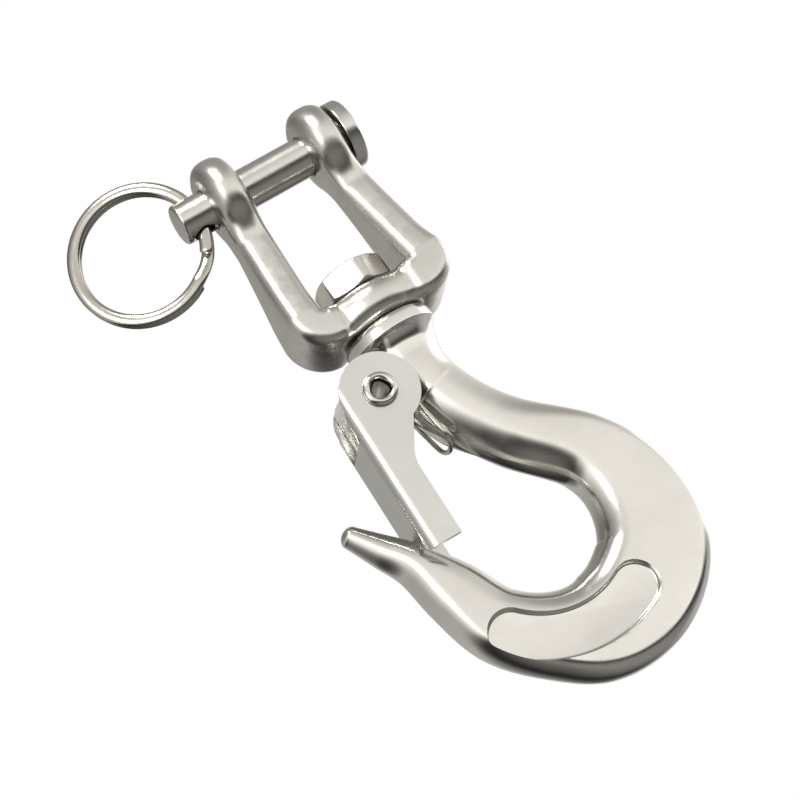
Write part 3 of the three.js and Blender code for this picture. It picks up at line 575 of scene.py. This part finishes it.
def panel_ring(grow):
    """The slot's outline, grown outwards: two arcs about the bowl and two round ends."""
    arc = np.linspace(0, 1, 48)[:, None]
    sweep = panel_start + (panel_end - panel_start) * arc
    turn = np.pi * arc[2:-2]
    wide = PANEL_HALF + grow
    far = (PANEL_RADIUS + wide) * np.hstack([np.cos(sweep), np.sin(sweep)])
    near = (PANEL_RADIUS - wide) * np.hstack([np.cos(sweep), np.sin(sweep)])[::-1]
    caps = [PANEL_RADIUS * np.array([math.cos(a), math.sin(a)])
            + wide * np.hstack([np.cos(a + b + turn), np.sin(a + b + turn)])
            for a, b in ((panel_end, 0), (panel_start, np.pi))]
    return np.vstack([far, caps[0], near, caps[1]])


levels = [(-0.45, -PANEL_DEPTH), (-0.2, -PANEL_DEPTH + 0.06), (0, -PANEL_DEPTH + 0.25), (0.1, -0.2),
          (0.35, -0.02), (0.6, 0.15), (0.6, 0.6)]
face_y = -THICK / 2
rows = np.stack([np.insert(panel_ring(grow), 1, face_y - up, axis=1) + [0, 0, bowl_z]
                 for grow, up in levels])
report(cut(hook, skin("panel_tool", rows, flat=True)))
rivet_bore = turned("lug_bore", [(RIVET_BORE, -8), (RIVET_BORE, 8)], "y", (rivet_x, 0, rivet_z), sides=64)
report(cut(hook, rivet_bore))

# %% [markdown]
# ## Swivel nut
# A hex nut on the neck keeps the hook in the jaw. A hexagon's radius at angle a is the flat's
# distance over cos(a). Both ends are chamfered on a lathe, which is why each flat ends in an arch:
# the radius is the smaller of the hexagon's and the cone's.

# %% Swivel nut
NUT_FLATS, NUT_TURN, NUT_CHAMFER, BORE_CHAMFER = 13.0, math.radians(-22), math.radians(28), 0.5
nut_low, nut_high = corners("swivel_nut")[0][2], corners("swivel_nut")[1][2]


def hex_nut(bore=NECK_RADIUS + 0.15, columns=360):
    """A loop of rings: out over the foot, up the flats, in over the top and down through the bore."""
    angle = np.linspace(0, 2 * np.pi, columns, endpoint=False)
    off_flat = (angle - NUT_TURN) % (np.pi / 3) - np.pi / 6
    hexagon = NUT_FLATS / 2 / np.cos(off_flat)
    corner = NUT_FLATS / 2 / math.cos(np.pi / 6)
    hexagon = (hexagon**-60.0 + (corner * 0.995) ** -60.0) ** (-1 / 60)  # rounds the six edges a little
    drop = np.concatenate([np.linspace(0, 0.9, 16), [1.4]])
    face = NUT_FLATS / 2 - 0.25
    slope = 1 / math.tan(NUT_CHAMFER)
    rim = np.minimum(hexagon, face + drop[:, None] * slope)
    up = np.concatenate([nut_low + drop, (nut_high - drop)[::-1]])
    outer_wall = np.vstack([rim, rim[::-1]])
    hole = np.array([(bore + BORE_CHAMFER, nut_high), (bore, nut_high - BORE_CHAMFER),
                     (bore, nut_low + BORE_CHAMFER), (bore + BORE_CHAMFER, nut_low)])
    radius = np.vstack([outer_wall, np.repeat(hole[:, :1], columns, axis=1)])
    height = np.repeat(np.concatenate([up, hole[:, 1]])[:, None], columns, axis=1)
    return np.stack([radius * np.cos(angle), radius * np.sin(angle), height], -1)


nut = report(skin("hex_nut", hex_nut(), looped=True))

# %% [markdown]
# ## Safety latch
# The latch is a pressing: a flat blank of 1.3 mm sheet, punched and then folded into a channel. The
# channel is drawn as a long trough, trimmed to the side view of the latch, and then its window and
# the clearance at its foot are punched out. A small bevel stands for the tumbled edge.

# %% Safety latch
SHEET, INNER_WIDE, HEAD, HEAD_ANGLE = 1.3, 14.2, 7.4, math.radians(68)
WEB, WEB_LEAD, WEB_START, BLADE, BLADE_START, BLADE_LENGTH = 8.0, 1.5, 6.2, 6.45, 14.2, 29.7
BEND, TILT = 2.2, math.radians(2.5)
SIDE = INNER_WIDE / 2 + SHEET
WEB_FOOT, TUMBLED_EDGE = 27.35, 0.22


def trough(name, side, web, radius, reach):
    """A block with two rounded corners beside the web, drawn along the latch: u across, y through."""
    turn = np.linspace(0, np.pi / 2, 12)
    bend = np.stack([-web + radius * (1 - np.sin(turn)), side - radius * (1 - np.cos(turn))], -1)
    half_outline = np.vstack([[reach, side], bend])
    outline = np.vstack([half_outline, half_outline[::-1] * [1, -1]])
    return prism(name, outline, -60.0, 60.0, along=2)


def latch_side():
    """Side view: three quarters of a circle about the rivet, then straight down to the blade."""
    swing = np.linspace(np.pi, -HEAD_ANGLE, 72)
    head = HEAD * np.stack([np.cos(swing), np.sin(swing)], -1)
    free = BLADE - WEB
    blade = [(free, -BLADE_START), (free, -BLADE_LENGTH), (-WEB, -BLADE_LENGTH), (-WEB, -WEB_LEAD)]
    knee = eased(np.vstack([head[-1:], blade[:2]]), 2.0, 8)[1:-1]
    return np.vstack([head, knee, blade[1:]])


def block(name, low, high):
    """A plain box between two corners."""
    low, high = np.asarray(low, float), np.asarray(high, float)
    outline = np.array([(low[0], low[2]), (high[0], low[2]), (high[0], high[2]), (low[0], high[2])])
    return prism(name, outline, low[1], high[1])


latch = trough("pressed_latch", SIDE, WEB, BEND, 20)
cut(latch, trough("latch_inside", INNER_WIDE / 2, WEB - SHEET, BEND - SHEET, 40))
cut(latch, prism("latch_side", latch_side(), -20, 20), operation="INTERSECT")
slot_half = SIDE - BEND / 2 - SHEET / 4
cut(latch, block("window", (-WEB - 3, -slot_half, -WEB_START), (-WEB + 3, slot_half, 20)),
    block("foot", (-WEB - 3, -slot_half, -50), (-WEB + 3, slot_half, -WEB_FOOT)),
    turned("latch_bore", [(RIVET_BORE, -20), (RIVET_BORE, 20)], "y", sides=64))
tilted = np.array([[math.cos(TILT), 0, math.sin(TILT)], [0, 1, 0], [-math.sin(TILT), 0, math.cos(TILT)]])
moved(latch, lambda points: points @ tilted.T + [rivet_x, 0, rivet_z])
edge = latch.modifiers.new("tumbled_edge", "BEVEL")
edge.width, edge.segments = TUMBLED_EDGE * MM, 3
edge.limit_method, edge.angle_limit = "ANGLE", math.radians(40)
even_light = latch.modifiers.new("even_light", "WEIGHTED_NORMAL")
even_light.keep_sharp = False
if "sharp_edge" in latch.data.attributes:  # the bevel rounds these edges, so none is shaded as sharp
    latch.data.attributes.remove(latch.data.attributes["sharp_edge"])
report(latch)

# %% [markdown]
# ## Rivet
# The rivet is a tube. Its ends are rolled over with a punch, which leaves a plump ring round a hole
# that isn't quite round. It is a profile turned round Y, doubled to the other side.

# %% Rivet
RIVET, RIVET_HOLE, FLANGE, FLANGE_HIGH, LOBE = 2.4, 1.6, 3.3, 1.05, 0.07
shoulder = SIDE + 0.1
crest = shoulder + FLANGE_HIGH
half_profile = np.array([(RIVET, shoulder), (FLANGE - 0.2, shoulder), (FLANGE, shoulder + 0.4),
                         (FLANGE - 0.35, crest - 0.15), (RIVET, crest), (RIVET_HOLE + 0.35, crest - 0.3),
                         (RIVET_HOLE, crest - 1.3)])
loop = np.vstack([half_profile, half_profile[::-1] * [1, -1]])
loop = eased(np.vstack([loop[-1:], loop, loop[:1]]), 0.3, 5)[1:-1]
rivet = report(turned("tube_rivet", loop, "y", (rivet_x, 0, rivet_z), sides=96, looped=True))


def three_lobed(points):
    """The mouth is pushed in and out by LOBE * cos(3a), which fades out from the hole to the tube's wall."""
    across = points[:, [0, 2]] - [rivet_x, rivet_z]
    far = np.linalg.norm(across, axis=1)
    wave = np.cos(3 * np.arctan2(across[:, 1], across[:, 0]) + math.pi / 2)
    share = 1 + LOBE * wave * np.clip((RIVET - far) / (RIVET - RIVET_HOLE), 0, 1)
    return np.stack([rivet_x + across[:, 0] * share, points[:, 1], rivet_z + across[:, 1] * share], -1)


moved(rivet, three_lobed)

# %% [markdown]
# ## Latch spring
# One wire: a leg on the latch's web, a coil round the rivet, a strand out to a loop that rests on
# the shank, and the same again behind. Round wire is a circle carried along that path. The circle
# is turned as little as possible from each point to the next, so that the wire doesn't twist.

# %% Latch spring
WIRE, COIL, PITCH, LUG_GAP = 1.0, 4.4, 1.03, 0.2
LEG_ANGLE, LEG_LENGTH, LOOP_LEAN = 170, 7.4, 9
LOOP_REACH, LOOP_HALF, LOOP_ROUND, ROOT_HALF = 12.4, 4.6, 2.6, 6.5


def spring_points():
    """Points on the front half of the wire, in order, and the middle of the loop."""
    last = LOOP_LEAN - 360
    turns = (LEG_ANGLE - last) / 360
    near = -(LUG_THICK / 2 + LUG_GAP + WIRE / 2)
    far = near - turns * PITCH

    def on_coil(angle, y):
        a = np.radians(angle)
        return np.stack([rivet_x + COIL * np.cos(a), y + 0 * a, rivet_z + COIL * np.sin(a)], -1)

    def strand(reach, y, angle=last):
        a = math.radians(angle)
        return on_coil(angle, y) + np.multiply.outer(reach, [math.sin(a), 0, -math.cos(a)])

    share = np.linspace(0, 1, 60)
    coil = on_coil(mix(LEG_ANGLE, last, share), mix(far, near, share))
    leg = strand(np.array([-LEG_LENGTH, -LEG_LENGTH / 2]), far, LEG_ANGLE)
    swing = np.radians([0, 30, 60])
    run = np.concatenate([[ROOT_HALF, (ROOT_HALF + LOOP_REACH) / 2], LOOP_REACH + LOOP_ROUND * np.sin(swing)])
    side = np.concatenate([[near, (near - LOOP_HALF) / 2], -LOOP_HALF * np.cos(swing)])
    loop_end = strand(run, 0.0) + side[:, None] * [0, 1, 0]
    return np.vstack([leg, coil, loop_end]), strand(LOOP_REACH + LOOP_ROUND, 0.0)


def carried_circle(path, radius, around=16):
    """A circle carried along a path, its frame turned by the smallest turn from point to point."""
    ahead = np.gradient(path, axis=0)
    ahead /= np.linalg.norm(ahead, axis=1, keepdims=True)
    side = np.cross(ahead[0], [0, 0, 1.0])
    frames = []
    for direction in ahead:
        side = side - direction * (side @ direction)
        side /= np.linalg.norm(side)
        frames.append(side)
    frames = np.array(frames)
    other = np.cross(ahead, frames)
    angle = np.linspace(0, 2 * np.pi, around, endpoint=False)
    return (path[:, None] + radius * (np.cos(angle)[None, :, None] * frames[:, None]
                                      + np.sin(angle)[None, :, None] * other[:, None]))


front, loop_tip = spring_points()
knots = np.vstack([front, loop_tip[None], front[::-1] * [1, -1, 1]])
dense = through(knots, 40 * len(knots))
run = np.concatenate([[0], np.cumsum(np.linalg.norm(np.diff(dense, axis=0), axis=1))])
even = np.linspace(0, run[-1], 620)
wire_path = np.stack([np.interp(even, run, dense[:, k]) for k in range(3)], -1)
spring = report(skin("wire_spring", carried_circle(wire_path, WIRE / 2)))

# %% [markdown]
# ## Finishes
# Every piece is stainless steel, and what tells them apart is how each was made. Polished steel
# has almost no colour of its own: the eye reads it from the shapes of the reflections, and reads
# the making from what disturbs them. So each finish is a roughness that wanders a little, a fine
# relief in the direction of the tool, and a soft unevenness that bends the reflections.

# %% Node helper
def linear(hexcode):
    """An sRGB hex colour as the linear light that Blender works in, with full alpha."""
    srgb = np.array([int(hexcode[i:i + 2], 16) for i in (1, 3, 5)]) / 255
    light = np.where(srgb <= 0.04045, srgb / 12.92, ((srgb + 0.055) / 1.055) ** 2.4)
    return (*light.tolist(), 1.0)


def add(tree, kind, inputs=None, **settings):
    """Adds one node. Inputs are values, or other nodes' outputs to link, keyed by socket name or number."""
    made = tree.nodes.new(kind)
    for key, value in settings.items():
        setattr(made, key, value)
    for key, value in (inputs or {}).items():
        if isinstance(value, bpy.types.NodeSocket):
            tree.links.new(value, made.inputs[key])
        else:
            made.inputs[key].default_value = value
    return made


# %% Steel finish
def lay_scale(lay, size):
    """Noise cells per unit of the coordinates: per metre on Object, and per turn or length on the lay."""
    return tuple(1 / (value * MM) for value in size) if lay == "Object" else tuple(size)


def steel(name, colour, shadow, rough, grain, grain_depth, wave, wave_depth, lay="Object"):
    """A steel finish. grain and wave are sizes in mm along X, Y and Z (or round and along the lay).

    The grain is the tool's fine marks. The wave is the slow unevenness left by polishing. Both are
    noise, stretched to their sizes, and both move the surface by a depth given in mm. Roughness runs
    between the two values of rough, and colour between colour and shadow, in soft patches.
    """
    material = bpy.data.materials.new(name)
    material.use_nodes = True
    tree = material.node_tree
    tree.nodes.clear()
    place = add(tree, "ShaderNodeTexCoord")
    fine = add(tree, "ShaderNodeMapping", {0: place.outputs[lay], "Scale": lay_scale(lay, grain)})
    slow = add(tree, "ShaderNodeMapping", {
        0: place.outputs["Object"], "Scale": lay_scale("Object", wave)})
    marks = add(tree, "ShaderNodeTexNoise", {
        0: fine.outputs[0], "Scale": 1.0, "Detail": 3.0, "Roughness": 0.6})
    swell = add(tree, "ShaderNodeTexNoise", {0: slow.outputs[0], "Scale": 1.0, "Detail": 1.0})
    patch = add(tree, "ShaderNodeTexNoise", {
        0: slow.outputs[0], "Scale": 0.7, "Detail": 4.0, "Roughness": 0.7})
    roughness = add(tree, "ShaderNodeMapRange", {
        "Value": patch.outputs[0], "From Min": 0.35, "From Max": 0.65,
        "To Min": rough[0], "To Max": rough[1]})
    tint = add(tree, "ShaderNodeMix", {
        0: patch.outputs[0], 6: linear(colour), 7: linear(shadow)}, data_type="RGBA")
    rolling = add(tree, "ShaderNodeBump", {
        "Height": swell.outputs[0], "Distance": wave_depth * MM, "Strength": 1.0})
    tooled = add(tree, "ShaderNodeBump", {
        "Height": marks.outputs[0], "Distance": grain_depth * MM, "Strength": 1.0,
        "Normal": rolling.outputs[0]})
    shader = add(tree, "ShaderNodeBsdfPrincipled", {
        "Base Color": tint.outputs[2], "Metallic": 1.0, "Roughness": roughness.outputs[0],
        "Normal": tooled.outputs[0]})
    add(tree, "ShaderNodeOutputMaterial", {0: shader.outputs[0]})
    return material


finishes = {
    # Cast, blasted and tumbled. The peel left by the mould breaks up each reflection, so the jaw looks
    # softer and a little greyer than the hook. Real peel is finer: it is drawn 0.5 mm wide to show.
    "jaw": steel("investment_cast_stainless_tumbled", "#D4D1CB", "#C1BFBA", (0.24, 0.34),
                 (0.5, 0.5, 0.5), 0.004, (4, 4, 4), 0.05),
    # Turned on a lathe. The rings pull each highlight into a bar along the pin. Real rings are 0.1 mm
    # apart, too fine to see one by one, so they are drawn 0.35 mm apart.
    "pin": steel("turned_stainless_satin", "#D3D1CD", "#C2C0BB", (0.18, 0.26),
                 (0.35, 4, 4), 0.003, (5, 5, 5), 0.02),
    # Wire rolled flat between bright rolls. Faint streaks run along it, and the darker tint sets its
    # thin line off from the pale room.
    "ring": steel("rolled_stainless_wire_bright", "#BDBAB3", "#A3A098", (0.16, 0.24),
                  (12, 60, 1), 0.001, (5, 5, 5), 0.02, "UV"),
    # Forged, then belt-ground and polished by hand. The slow wave bends the long dark and bright bands
    # as a hand-polished surface does, and the fine lines lie across the shank, drawn coarser than life.
    "hook": steel("forged_stainless_mirror_polished", "#DFDCD7", "#CDCBC6", (0.15, 0.24),
                  (0.4, 2.5, 0.4), 0.0016, (11, 11, 11), 0.2),
    # Cut from drawn hexagon bar. Lines from the die run up each flat, so the flats read as flat and
    # crisp beside the soft jaw. They are drawn 0.35 mm apart.
    "nut": steel("drawn_hex_stainless_machined", "#D0CECA", "#BDBBB6", (0.16, 0.24),
                 (0.35, 0.35, 3), 0.003, (4, 4, 4), 0.02),
    # Pressed from rolled sheet and tumbled. It is the dullest piece: a flat even grey with the mill's
    # lines down the blade and a slight bow that shades one end of the plate.
    "latch": steel("pressed_stainless_sheet_tumbled", "#D9D8D4", "#BFBEBA", (0.22, 0.32),
                   (0.5, 0.5, 2.2), 0.0012, (14, 14, 14), 0.25),
    # Rolled over by a hard punch, which burnishes it. It is the brightest piece, a sharp white ring.
    "rivet": steel("stainless_tube_rolled_bright", "#D6D4D0", "#C6C4BF", (0.12, 0.2),
                   (0.5, 0.5, 0.5), 0.003, (3, 3, 3), 0.03),
    # Drawn through a die. Fine lines along the wire keep its highlight to one thin stripe, and the
    # drawing soap leaves it a little warm.
    "spring": steel("drawn_stainless_spring_wire", "#CBC8C0", "#B4B0A6", (0.16, 0.24),
                    (14, 90, 1), 0.002, (4, 4, 4), 0.01, "UV"),
}

# %% Onto the frame
pieces = [
    (jaw, "jaw", "jaw_fork", "jaw_steel", "jaw"),
    (pin, "pin", "clevis_pin", "pin_steel", "pin"),
    (ring, "ring", "split_ring", "ring_wire", "ring"),
    (hook, "hook", "hook", "hook_steel", "hook"),
    (nut, "hook", "swivel_nut", "nut_steel", "nut"),
    (latch, "latch", "safety_latch", "latch_sheet", "latch"),
    (rivet, "hook", "latch_rivet", "rivet_steel", "rivet"),
    (spring, "hook", "latch_spring", "spring_wire", "spring"),
]
for piece, body_name, node, slot, finish in pieces:
    piece.data.materials.clear()
    piece.data.materials.append(finishes[finish])
    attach(piece, body_name)
    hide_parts(node)

# %% [markdown]
# ## Studio
# Polished steel shows the room, so the room does most of the work: a pale room above, a dark floor
# as the steel sees it, and large soft boxes whose reflections draw the shapes. The floor and the
# backdrop are pale for the camera.

# %% Camera
CAMERA_PLACE = np.array([-0.1070, -0.3384, -0.1447])
FORWARD = np.array([0.2779, 0.9258, 0.2562])
UP = np.array([0.4965, -0.3668, 0.7867])
LENS = 90.0

back = -FORWARD / np.linalg.norm(FORWARD)
right_hand = np.cross(UP, back)
right_hand /= np.linalg.norm(right_hand)
up = np.cross(back, right_hand)
turn = np.eye(4)
turn[:3, 0], turn[:3, 1], turn[:3, 2], turn[:3, 3] = right_hand, up, back, CAMERA_PLACE
camera = bpy.data.objects.new("camera", bpy.data.cameras.new("camera"))
camera.data.lens, camera.data.sensor_width = LENS, 36.0
camera.data.clip_start, camera.data.clip_end = 0.01, 20.0
camera.matrix_world = turn.T.tolist()
bpy.context.scene.collection.objects.link(camera)
bpy.context.scene.camera = camera

# %% Floor and room
FLOOR_Z, FLOOR_RADIUS = -0.32, 3.0
angle = np.linspace(0, 2 * np.pi, 96, endpoint=False)
rim = np.stack([FLOOR_RADIUS * np.cos(angle), FLOOR_RADIUS * np.sin(angle), angle * 0 + FLOOR_Z], -1)
floor = finish_mesh("studio_floor", rim / MM, [list(range(96))])
floor.visible_glossy = False
paper = bpy.data.materials.new("matt_paper_floor")
paper.use_nodes = True
paper.node_tree.nodes.clear()
paper_shader = add(paper.node_tree, "ShaderNodeBsdfDiffuse", {"Color": linear("#F4F4F2")})
add(paper.node_tree, "ShaderNodeOutputMaterial", {0: paper_shader.outputs[0]})
floor.data.materials.append(paper)

world = bpy.data.worlds.new("studio_room")
bpy.context.scene.world = world
world.use_nodes = True
room = world.node_tree
room.nodes.clear()
direction = add(room, "ShaderNodeTexCoord")
parts = add(room, "ShaderNodeSeparateXYZ", {0: direction.outputs["Generated"]})
height = add(room, "ShaderNodeMapRange", {"Value": parts.outputs["Z"], "From Min": -1.0, "From Max": 1.0})
ramp = add(room, "ShaderNodeValToRGB", {0: height.outputs[0]})
# Height in the room (0 is straight down, 0.5 level, 1 straight up) and how bright the room is there.
ROOM = [(0.0, 0.32), (0.1, 0.3), (0.18, 0.22), (0.26, 0.06), (0.34, 0.06), (0.4, 0.7), (0.44, 1.5),
        (0.48, 1.3), (0.5, 1.25), (0.63, 1.12), (0.7, 0.92), (0.77, 0.72), (0.83, 0.5), (0.9, 0.42),
        (1.0, 0.38)]
stops = ramp.color_ramp.elements
for position, grey in ROOM:
    stop = stops[0] if position == 0 else stops[-1] if position == 1 else stops.new(position)
    stop.color = (grey, grey * 0.98, grey * 0.94, 1)
# The room is dimmer towards the back left, and has a soft window at the right. Only reflections see
# that: the camera and the floor see an even white.
ray = add(room, "ShaderNodeLightPath")
aside = add(room, "ShaderNodeVectorMath", {0: direction.outputs["Generated"], 1: (-0.75, 0.66, 0.0)},
            operation="DOT_PRODUCT")
dimmer = add(room, "ShaderNodeMapRange", {
    "Value": aside.outputs["Value"], "From Min": 0.0, "From Max": 0.85, "To Min": 1.0, "To Max": 0.42},
    interpolation_type="SMOOTHSTEP")
dimmed = add(room, "ShaderNodeMix", {0: 1.0, 6: ramp.outputs[0], 7: dimmer.outputs[0]},
             data_type="RGBA", blend_type="MULTIPLY")
beside = add(room, "ShaderNodeVectorMath", {0: direction.outputs["Generated"], 1: (0.86, 0.42, -0.2)},
             operation="DOT_PRODUCT")
window = add(room, "ShaderNodeMapRange", {
    "Value": beside.outputs["Value"], "From Min": 0.55, "From Max": 0.95, "To Min": 0.0, "To Max": 0.6},
    interpolation_type="SMOOTHSTEP")
lit = add(room, "ShaderNodeMix", {0: 1.0, 6: dimmed.outputs[2], 7: window.outputs[0]},
          data_type="RGBA", blend_type="LIGHTEN")
unseen = add(room, "ShaderNodeMath", {0: ray.outputs["Is Camera Ray"], 1: ray.outputs["Is Diffuse Ray"]},
             operation="MAXIMUM")
pale = add(room, "ShaderNodeMix", {0: unseen.outputs[0], 6: lit.outputs[2], 7: (1, 1, 1, 1)},
           data_type="RGBA")
sky = add(room, "ShaderNodeBackground", {0: pale.outputs[2], 1: 1.0})
add(room, "ShaderNodeOutputWorld", {0: sky.outputs[0]})


# %% Lights
def soft_box(name, towards, distance, size, power):
    """A square soft box that looks at the middle of the object from the direction towards."""
    light = bpy.data.objects.new(name, bpy.data.lights.new(name, "AREA"))
    light.data.shape, light.data.size, light.data.energy = "SQUARE", size, power
    facing = np.array(towards, float)
    facing /= np.linalg.norm(facing)
    across_box = np.cross([0, 0.01, 1], facing)
    across_box /= np.linalg.norm(across_box)
    matrix = np.eye(4)
    matrix[:3, 0], matrix[:3, 1], matrix[:3, 2] = across_box, np.cross(facing, across_box), facing
    matrix[:3, 3] = MIDDLE + facing * distance
    light.matrix_world = matrix.T.tolist()
    light.visible_camera = False
    bpy.context.scene.collection.objects.link(light)
    return light


MIDDLE = (np.array(frame_low) + np.array(frame_high)) / 2
BOX_DISTANCE = 0.9
soft_box("top_front_box", (-0.1, -0.6, 0.79), BOX_DISTANCE, 0.3, 6.0)
soft_box("left_front_box", (-0.55, -0.8, 0.2), BOX_DISTANCE, 0.25, 2.6)
soft_box("right_box", (0.95, 0.3, 0.1), BOX_DISTANCE, 0.5, 0.8)

# %% Finish
bpy.context.scene.view_settings.view_transform = "Standard"
